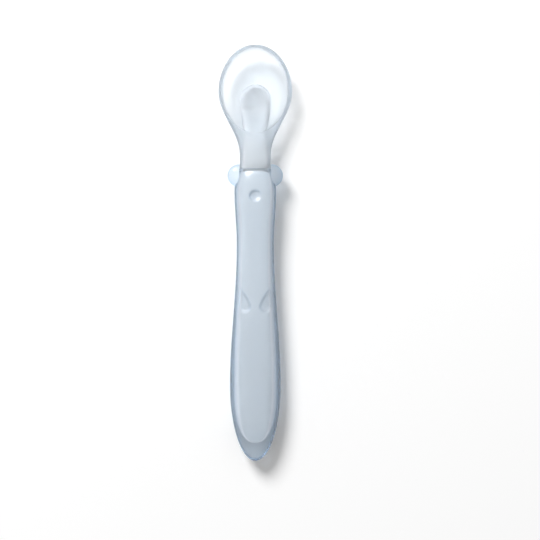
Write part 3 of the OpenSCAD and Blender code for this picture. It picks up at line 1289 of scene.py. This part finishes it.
def claim(piece: bpy.types.Object, node: Node, slot: Slot) -> None:
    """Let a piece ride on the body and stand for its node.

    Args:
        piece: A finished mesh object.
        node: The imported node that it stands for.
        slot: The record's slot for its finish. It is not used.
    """
    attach(piece, "root")
    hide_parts(node.value)


@dataclass
class Core:
    """The rigid insert: handle core, neck bar and dished tongue."""

    shape: CoreForm
    around: int = 208
    sharp: float = 60.0

    def sections(self, y: np.ndarray, inset: float = 0.0) -> Stations:
        """Give the core's cross-sections.

        Args:
            y: Where they stand.
            inset: How far inside the core's surface they run.

        Returns:
            The sections.
        """
        s = self.shape
        return Stations(y, np.maximum(s.half_w(y) - inset, 0), s.bottom(y) + inset, s.top(y) - inset,
                        s.roundness(y), s.dish(y))

    def sink(self, piece: bpy.types.Object) -> None:
        """Press the relief into the core's top, or into a wall that lies on it.

        Args:
            piece: The core, or the sleeve round it.
        """
        s = self.shape

        def lowered(x: np.ndarray, y: np.ndarray, z: np.ndarray) -> np.ndarray:
            """Say how far each point sinks.

            Args:
                x: Places across.
                y: Places along.
                z: Heights.

            Returns:
                The depths.
            """
            over = s.surface_z(x, y)
            touching = (np.abs(z - over) < s.touch_gap) & (z > s.form.neck_mid_z)
            return np.where(touching, s.relief.depth(x, y, s.dimple_share, s.scoop_share), 0)

        lower(piece, lowered)

    def build(self, skin: SectionSkin, material: bpy.types.Material) -> bpy.types.Object:
        """Build the core.

        Args:
            skin: The tree that wraps skins.
            material: Its finish.

        Returns:
            The finished piece.
        """
        piece = skin.make("core_insert", self.sections(self.shape.section_y()), self.around, material)
        self.sink(piece)
        crease(piece, self.sharp)
        claim(piece, Node.CORE, Slot.CORE)
        return piece


@dataclass
class Bowl:
    """The clear moulding: bowl, raised cover over the tongue, and neck."""

    shape: CoreForm
    edge_r: float = 0.62
    crest_r: float = 0.5
    cover_r: float = 0.3
    strip_soft: float = 1.6
    edge_n: int = 10
    wall_n: int = 14
    inner_n: int = 36
    lower_n: int = 88
    wall_l: float = 2.4
    wall_share: float = 0.42
    void_inset: float = 0.05
    probe: float = 0.05
    steepest: float = 2.0
    sharp: float = 50.0
    end_l: float = 3.0
    end_n: int = 26
    tip_n: int = 20
    cover_room: float = 1.0
    cavity_front_room: float = 4.0
    cavity_back_room: float = 1.5
    plain_step: float = 0.35
    fine_step: float = 0.16
    tongue_step: float = 0.4
    neck_step: float = 0.5

    @property
    def turns(self) -> tuple[np.ndarray, np.ndarray]:
        """Angles of the points over a section's top, and of those under it."""
        over = np.linspace(0, np.pi, 2 * (self.edge_n + self.wall_n + self.inner_n) + 1)
        return over[None, :], np.linspace(np.pi, 2 * np.pi, self.lower_n + 1)[None, 1:-1]

    def across(self, w: np.ndarray) -> np.ndarray:
        """Place points over the bowl's top from the right edge to the left.

        Args:
            w: Half width of each section.

        Returns:
            One row of places for each section.
        """
        edge = np.minimum(self.edge_r, w * self.wall_share / 2)[:, None]
        wall = np.minimum(self.wall_l, w * self.wall_share)[:, None]
        w = w[:, None]
        turn = np.linspace(0, np.pi / 2, self.edge_n, endpoint=False)[None, :]
        rim = w - edge * (1 - np.cos(turn))
        down = np.linspace(0, 1, self.wall_n, endpoint=False)[None, :]
        side = w - edge - (wall - edge) * down
        inner = (w - wall) * (1 - np.linspace(0, 1, self.inner_n + 1))[None, :]
        half = np.concatenate([rim, side, inner], axis=1)
        return np.concatenate([half, -half[:, -2::-1]], axis=1)

    def upper_z(self, x: np.ndarray, y: np.ndarray) -> np.ndarray:
        """Give the height of the bowl's and neck's upper surface.

        Args:
            x: Places across, one row for each section.
            y: Place of each section, as a column.

        Returns:
            The heights.
        """
        s, f = self.shape, self.shape.form
        w = np.maximum(f.bowl_half_w(y), TINY)
        top, neck = f.rim_top(y), f.neck_share(y)
        slope = (f.bowl_half_w(y + self.probe) - f.bowl_half_w(y - self.probe)) / (2 * self.probe)
        side = (w - np.abs(x)) / np.sqrt(1 + np.minimum(slope * slope, self.steepest ** 2))
        rho = np.hypot(x / (f.bowl_w / 2), (y - f.bowl_y) / f.bowl_back_l)
        steep = np.hypot(x / (f.bowl_w / 2) ** 2, (y - f.bowl_y) / f.bowl_back_l ** 2)
        end = (1 - rho) * rho / np.maximum(steep, TINY)
        gap = np.clip(np.where(y < f.bowl_y, side, end), 0, self.edge_r)
        rim = top - self.edge_r + np.sqrt(np.maximum(self.edge_r ** 2 - (self.edge_r - gap) ** 2, 0))
        tube = f.neck_mid_z + (top - f.neck_mid_z) * dome(x / w, f.neck_round)
        crown = rim + (tube - rim) * neck
        reach = np.where(y < f.bowl_y, f.cavity_front_l, f.bowl_back_l - f.rim_t)
        inside = np.hypot(x / (f.bowl_w / 2 - f.rim_t), (y - f.bowl_y) / reach)
        floor = top - (f.rim_z - f.floor_t) * dome(inside, f.bowl_round)
        cover_w = np.maximum(s.cover_half_w(y), TINY)
        strip = soft_step((cover_w - np.abs(x)) / self.strip_soft)
        crown = crown - strip * np.maximum(top - s.cover_top(y), 0) * np.where(y < f.bowl_y, 1, 0)
        low = soft_min(crown, floor + self.crest_r / 4, self.crest_r)
        mid = (s.top(y) + s.bottom(y)) / 2
        rise = s.cover_top(y) - mid
        unit = np.minimum(np.abs(x) / cover_w, 1)
        cover = mid + rise * dome(unit, s.bar_round) - s.dish(y) * (1 - unit * unit)
        cover = np.where((np.abs(x) < cover_w) & (cover_w > self.void_inset), cover, 0)
        return soft_min(-soft_min(-low, -cover, self.cover_r), crown, self.cover_r)

    def ring_points(self, y: np.ndarray) -> np.ndarray:
        """Place the points of the outer cross-sections.

        Args:
            y: Where they stand.

        Returns:
            An array of sections, points and coordinates, in millimetres.
        """
        f = self.shape.form
        w = f.bowl_half_w(y)
        neck = f.neck_share(y)[:, None]
        rim_wide = f.rim_top(y)[:, None] - self.edge_r
        wide = rim_wide + (f.neck_mid_z - rim_wide) * neck
        n = f.bowl_round + (f.neck_round - f.bowl_round) * neck
        turn, under = self.turns
        round_x = w[:, None] * bend(np.cos(turn), f.neck_round)
        x = self.across(w) * (1 - neck) + round_x * neck
        z = self.upper_z(x, y[:, None])
        low_x = w[:, None] * bend(np.cos(under), n)
        low_z = np.maximum(0, wide + (wide - f.keel(y)[:, None]) * bend(np.sin(under), n))
        x, z = np.concatenate([x, low_x], axis=1), np.concatenate([z, low_z], axis=1)
        return stacked(x, y, z)

    def void_points(self, y: np.ndarray) -> np.ndarray:
        """Place the points of the wall round the core, just inside the core's surface.

        Args:
            y: Where its cross-sections stand.

        Returns:
            An array of sections, points and coordinates, in millimetres.
        """
        s = self.shape
        turn = np.concatenate(self.turns, axis=1)
        n = s.roundness(y)[:, None]
        w = np.maximum(s.half_w(y) - self.void_inset, 0)[:, None]
        bottom = (s.bottom(y) + self.void_inset)[:, None]
        top = (s.top(y) - self.void_inset)[:, None]
        mid = (bottom + top) / 2
        across, up = bend(np.cos(turn), n), bend(np.sin(turn), n)
        dish = s.dish(y)[:, None] * (1 - across * across) * np.maximum(np.sin(turn), 0)
        return stacked(w * across, y, mid + (top - mid) * up - dish)

    def build(self, material: bpy.types.Material) -> bpy.types.Object:
        """Build the bowl and neck.

        Args:
            material: Its finish.

        Returns:
            The finished piece.
        """
        s, f = self.shape, self.shape.form
        cavity_y = f.bowl_y - f.cavity_front_l
        start_y, cover_y = f.tip_y - self.end_l, s.tip_y + s.cover_side_t + self.cover_room
        front_y, back_y = cavity_y + self.cavity_front_room, cavity_y - self.cavity_back_room
        outer_y = np.concatenate([
            [f.tip_y],
            rounded_end(start_y, f.tip_y, self.end_n)[::-1][1:],
            spaced([(start_y, cover_y, self.plain_step), (cover_y, s.round_y, self.fine_step),
                    (s.round_y, front_y, self.tongue_step), (front_y, back_y, self.fine_step),
                    (back_y, f.joint_y, self.neck_step)]),
        ])
        void_y = np.concatenate([
            spaced([(f.joint_y, s.round_y, self.neck_step)]),
            rounded_end(s.round_y, s.tip_y - self.void_inset, self.tip_n),
        ])
        points = np.concatenate([self.ring_points(outer_y), self.void_points(void_y)])
        piece = loft("clear_bowl", points, material)
        crease(piece, self.sharp)
        claim(piece, Node.BOWL, Slot.CLEAR)
        return piece


def stacked(x: np.ndarray, y: np.ndarray, z: np.ndarray) -> np.ndarray:
    """Put the points of cross-sections together.

    Args:
        x: Places across, one row for each section.
        y: Place of each section.
        z: Heights, one row for each section.

    Returns:
        An array of sections, points and coordinates.
    """
    return np.stack([x, np.broadcast_to(y[:, None], x.shape), z], axis=2)


def loft(name: str, points: np.ndarray, material: bpy.types.Material) -> bpy.types.Object:
    """Join cross-sections into a closed skin. Its first and last ones shrink to a line or a point.

    Args:
        name: Name of the new object.
        points: An array of sections, points and coordinates, in millimetres.
        material: Its finish.

    Returns:
        A plain mesh object at the origin.
    """
    rows, count, _ = points.shape
    index = np.arange(rows * count).reshape(rows, count)
    a, b = index[:-1], index[1:]
    faces = np.stack([a, np.roll(a, -1, axis=1), np.roll(b, -1, axis=1), b], axis=2).reshape(-1, 4)
    mesh = bpy.data.meshes.new(name)
    mesh.from_pydata((points.reshape(-1, 3) * MM).tolist(), [], faces.tolist())
    mesh.materials.append(material)
    piece = add_object(name, mesh)
    work = bmesh.new()
    work.from_mesh(mesh)
    bmesh.ops.remove_doubles(work, verts=work.verts, dist=SectionSkin.WELD)
    bmesh.ops.dissolve_degenerate(work, edges=work.edges, dist=SectionSkin.WELD)
    ends = [edge for edge in work.edges if edge.is_boundary]
    if ends:
        bmesh.ops.holes_fill(work, edges=ends)
    work.to_mesh(mesh)
    work.free()
    turn_outwards(piece)
    return piece


@dataclass
class HandleSleeve:
    """The tinted moulding: the skin over the handle, its two knobs, the dimple and the thumb scoops."""

    shape: CoreForm
    around: int = 208
    void_inset: float = 0.05
    knob_d: float = 8.1
    knob_h: float = 6.0
    knob_span: float = 20.0
    knob_back: float = 2.4
    knob_gap: float = 0.05
    knob_round: float = 2.5
    knob_around: int = 72
    knob_rings: int = 28
    sharp: float = 42.0
    tail_n: int = 46
    nose_n: int = 36
    dimple_room: float = 0.8
    grip_step: float = 1.2
    scoop_step: float = 0.2
    waist_step: float = 1.0
    dimple_step: float = 0.18

    def sections(self) -> Stations:
        """Give the outer sections from the tail to the mouth, and the inner ones back.

        Returns:
            The sections of the whole wall.
        """
        s, f, marks = self.shape, self.shape.form, self.shape.relief
        low, high = marks.scoop_stretch
        dimple_y = marks.dimple_y - marks.dimple_d / 2 - self.dimple_room
        y = np.concatenate([
            rounded_end(f.grip_y, f.tail_y, self.tail_n)[::-1],
            spaced([(f.grip_y, low, self.grip_step), (low, high, self.scoop_step),
                    (high, dimple_y, self.waist_step), (dimple_y, f.shoulder_y, self.dimple_step)]),
            rounded_end(f.shoulder_y, f.joint_y, self.nose_n),
        ])
        turn_y = f.joint_y - s.round_run_l
        roundness = np.where(y < turn_y, run(f.handle_round, s.nose_round, f.shoulder_y, turn_y, y),
                             run(s.nose_round, f.neck_round, turn_y, f.joint_y, y))
        outer = Stations(y, f.handle_half_w(y), f.handle_bottom(y), f.handle_top(y), roundness,
                         np.zeros(y.shape))
        inside = s.section_y()
        inside = inside[(inside > s.end_y + self.void_inset) & (inside < f.joint_y)][::-1]
        y = np.concatenate([[f.joint_y], inside, [s.end_y + self.void_inset]])
        inner = Core(s).sections(y, self.void_inset)
        inner.half_w[-1] = 0
        inner.bottom[-1] = inner.top[-1] = inner.mid[-1]
        return outer.followed_by(inner)

    def knob_sections(self) -> Stations:
        """Give a knob's sections from its flat root outwards, along its own axis.

        Returns:
            The sections, placed as if the knob stood out along +Y from the origin.
        """
        s, f = self.shape, self.shape.form
        r = self.knob_d / 2
        middle = (self.knob_span - self.knob_d) / 2
        back = f.joint_y - self.knob_back - r
        root = max(f.neck_w / 2, float(s.half_w(np.array(back)))) + self.knob_gap
        turn = np.linspace((root - middle) / r, np.pi / 2, self.knob_rings)
        y = np.concatenate([[root, root], middle + r * np.sin(turn)])
        t = (y - middle) / r
        half_w, rise = r * dome(t, 2), self.knob_h / 2 * dome(t, self.knob_round)
        half_w[0] = rise[0] = half_w[-1] = rise[-1] = 0
        return Stations(y, half_w, f.neck_mid_z - rise, f.neck_mid_z + rise,
                        np.full(y.shape, self.knob_round), np.zeros(y.shape))

    def build(self, skin: SectionSkin, material: bpy.types.Material) -> bpy.types.Object:
        """Build the sleeve.

        Args:
            skin: The tree that wraps skins.
            material: Its finish.

        Returns:
            The finished piece.
        """
        s, f = self.shape, self.shape.form
        piece = skin.make("tinted_handle_sleeve", self.sections(), self.around, material)
        knob = skin.make("knob", self.knob_sections(), self.knob_around, material)
        self.join_knobs(piece, knob, material)
        Core(s).sink(piece)

        def lowered(x: np.ndarray, y: np.ndarray, z: np.ndarray) -> np.ndarray:
            """Say how far each point of the outer face sinks.

            Args:
                x: Places across.
                y: Places along.
                z: Heights.

            Returns:
                The depths.
            """
            top = f.handle_top(y)
            outer = (z > s.surface_z(x, y) + s.touch_gap) & (z > (top + f.neck_mid_z) / 2)
            return np.where(outer, s.relief.depth(x, y, dimple_share=1.0, scoop_share=1.0), 0)

        lower(piece, lowered)
        crease(piece, self.sharp)
        claim(piece, Node.SLEEVE, Slot.BLUE)
        return piece

    def join_knobs(self, piece: bpy.types.Object, knob: bpy.types.Object,
                   material: bpy.types.Material) -> None:
        """Fuse two knobs to the shoulder's sides, and delete the loose knob.

        Args:
            piece: The sleeve.
            knob: One knob that stands out along +Y.
            material: The finish of both.
        """
        wiring = Wiring(bpy.data.node_groups.new("PairOfKnobs", "GeometryNodeTree"))
        sockets = wiring.sockets("INPUT", {"Sleeve": "Geometry", "Knob": "Object", "Along": "Float",
                                           "Material": "Material"})
        wiring.sockets("OUTPUT", {"Joined": "Geometry"})
        add = wiring.add
        source = add("NodeGroupInput")
        shape = add("GeometryNodeObjectInfo", {"Object": source["Knob"]})["Geometry"]
        start = add("ShaderNodeCombineXYZ", {"Y": source["Along"]})[0]
        line = add("GeometryNodeMeshLine", {"Count": 2, "Offset": (0, 0, 0), "Start Location": start})["Mesh"]
        turn = wiring.maths("MULTIPLY_ADD", add("GeometryNodeInputIndex")[0], math.pi, -math.pi / 2)
        angle = add("ShaderNodeCombineXYZ", {"Z": turn})[0]
        pair = add("GeometryNodeInstanceOnPoints", {"Points": line, "Instance": shape, "Rotation": angle})
        real = add("GeometryNodeRealizeInstances", {0: pair[0]})
        fuse = wiring.tree.nodes.new("GeometryNodeMeshBoolean")
        fuse.operation = "UNION"
        fuse.solver = "MANIFOLD"
        for part in (source["Sleeve"], real[0]):
            wiring.put(fuse.inputs["Mesh 2"], part)
        dressed = add("GeometryNodeSetMaterial", {"Geometry": fuse.outputs["Mesh"],
                                                  "Material": source["Material"]})
        add("NodeGroupOutput", {0: dressed[0]})
        modifier = piece.modifiers.new("PairOfKnobs", "NODES")
        modifier.node_group = wiring.tree
        along = (self.shape.form.joint_y - self.knob_back) * MM
        for key, value in (("Knob", knob), ("Along", along), ("Material", material)):
            modifier[sockets[key]] = value
        joined = plain_mesh(piece, material)
        piece.modifiers.remove(modifier)
        bpy.data.objects.remove(knob)
        piece.data = joined
        turn_outwards(piece)


@dataclass
class Studio:
    """The pale floor, the soft light and the camera straight above."""

    px_per_mm: float = 2.77
    picture_px: float = 540.0
    spoon_mid_px: tuple[float, float] = (255.3, 252.9)
    lens_mm: float = 100.0
    sensor_mm: float = 36.0
    focus_z: float = 6.5
    floor_m: float = 6.0
    floor_drop: float = 0.1
    floor_colour: Colour = (0.985, 0.985, 0.985)
    floor_glow: float = 0.08
    floor_roughness: float = 0.9
    clip_m: float = 0.01
    key_from: tuple[float, float] = (-0.508, 0.861)
    key_elevation: float = 41.7
    key_angle: float = 25.0
    key_m: float = 1.8
    key_share: float = 0.65

    @staticmethod
    def seen(wiring: Wiring) -> bpy.types.NodeSocket:
        """Say whether the camera sees a thing straight, in a gloss or through a clear piece.

        Args:
            wiring: Node tree that asks.

        Returns:
            An output that is 1 or 0.
        """
        path = wiring.add("ShaderNodeLightPath")
        seen = wiring.maths("MAXIMUM", path["Is Camera Ray"], path["Is Glossy Ray"])
        return wiring.maths("MAXIMUM", seen, path["Is Transmission Ray"])

    def floor(self) -> None:
        """Lay a plain pale floor that looks white where it is fully lit."""
        half = self.floor_m / 2
        z = -self.floor_drop * MM
        mesh = bpy.data.meshes.new("floor")
        mesh.from_pydata([(-half, -half, z), (half, -half, z), (half, half, z), (-half, half, z)], [],
                         [(0, 1, 2, 3)])
        material, wiring, body = start_material("pale_floor")
        glow = wiring.maths("MULTIPLY", self.seen(wiring), self.floor_glow)
        for key, value in (("Base Color", (*self.floor_colour, 1)), ("Roughness", self.floor_roughness),
                           ("Specular IOR Level", 0), ("Emission Color", WHITE), ("Emission Strength", glow)):
            wiring.put(body.inputs[key], value)
        mesh.materials.append(material)
        add_object("floor", mesh)

    def lights(self) -> None:
        """Set one soft key light and an even white fill."""
        lamp = bpy.data.lights.new("key", "AREA")
        lamp.shape = "DISK"
        lamp.size = 2 * self.key_m * math.tan(math.radians(self.key_angle / 2))
        rise = math.radians(self.key_elevation)
        # A floor that lies flat under it takes pi times key_share
        lamp.energy = math.pi ** 2 * self.key_share * self.key_m ** 2 / math.sin(rise)
        key = add_object("key", lamp)
        way = Vector((self.key_from[0] * math.cos(rise), self.key_from[1] * math.cos(rise), math.sin(rise)))
        key.location = way * self.key_m
        key.rotation_euler = way.to_track_quat("Z", "Y").to_euler()
        world = bpy.data.worlds.new("studio")
        world.use_nodes = True
        wiring = Wiring(world.node_tree)
        sky = wiring.tree.nodes["Background"]
        share = {"Factor": self.seen(wiring), "A": 1 - self.key_share, "B": 1}
        wiring.put(sky.inputs["Color"], WHITE)
        wiring.put(sky.inputs["Strength"], wiring.add("ShaderNodeMix", share)["Result"])
        bpy.context.scene.world = world

    def camera(self) -> None:
        """Hang the camera straight above, framed as the photograph is."""
        lens = bpy.data.cameras.new("camera")
        lens.lens = self.lens_mm
        lens.sensor_width = self.sensor_mm
        lens.clip_start = self.clip_m
        span = self.picture_px / self.px_per_mm
        middle = self.picture_px / 2
        x = (middle - self.spoon_mid_px[0]) / self.px_per_mm
        y = (self.spoon_mid_px[1] - middle) / self.px_per_mm
        z = self.focus_z + span * self.lens_mm / self.sensor_mm
        eye = add_object("camera", lens)
        eye.location = (x * MM, y * MM, z * MM)
        bpy.context.scene.camera = eye

    def build(self) -> None:
        """Build the whole studio."""
        self.floor()
        self.lights()
        self.camera()
        bpy.context.scene.view_settings.view_transform = "Standard"


def report(piece: bpy.types.Object) -> None:
    """Log a piece's size.

    Args:
        piece: A mesh object.
    """
    LOG.info("%s: %d faces, %s mm", piece.name, len(piece.data.polygons),
             " x ".join(f"{side / MM:.1f}" for side in piece.dimensions))


def main() -> None:
    """Build the studio and the spoon's pieces."""
    logging.basicConfig(level=logging.INFO, format="%(name)s: %(message)s")
    Studio().build()
    groups = ShaderGroups()
    form = SpoonForm.from_frame()
    shape = CoreForm(form, Relief(form))
    skin = SectionSkin()
    plastic = CorePlastic().make(groups)
    clear = Silicone("clear_silicone", tint_per_m=17.0, tint=(0.0, 0.5, 0.9), clarity=0.95, clean=0.3,
                     frosted=0.46, frost_from_mm=form.neck_y, frost_to_mm=form.neck_y + FROST_L).make(groups)
    # The tinted skin gets a painted deeper edge tint and a painted shadow under its tail
    tinted = Silicone("tinted_silicone", tint_per_m=34.0, tint=(0.0, 0.52, 0.96), edge=(0.2, 0.62, 1.0),
                      clarity=0.84, shade=0.08, clean=0.22, frosted=0.17, frost_from_mm=form.waist_y,
                      frost_to_mm=form.shoulder_y).make(groups)
    report(Core(shape).build(skin, plastic))
    report(Bowl(shape).build(clear))
    report(HandleSleeve(shape).build(skin, tinted))


if __name__ == "__main__":
    main()
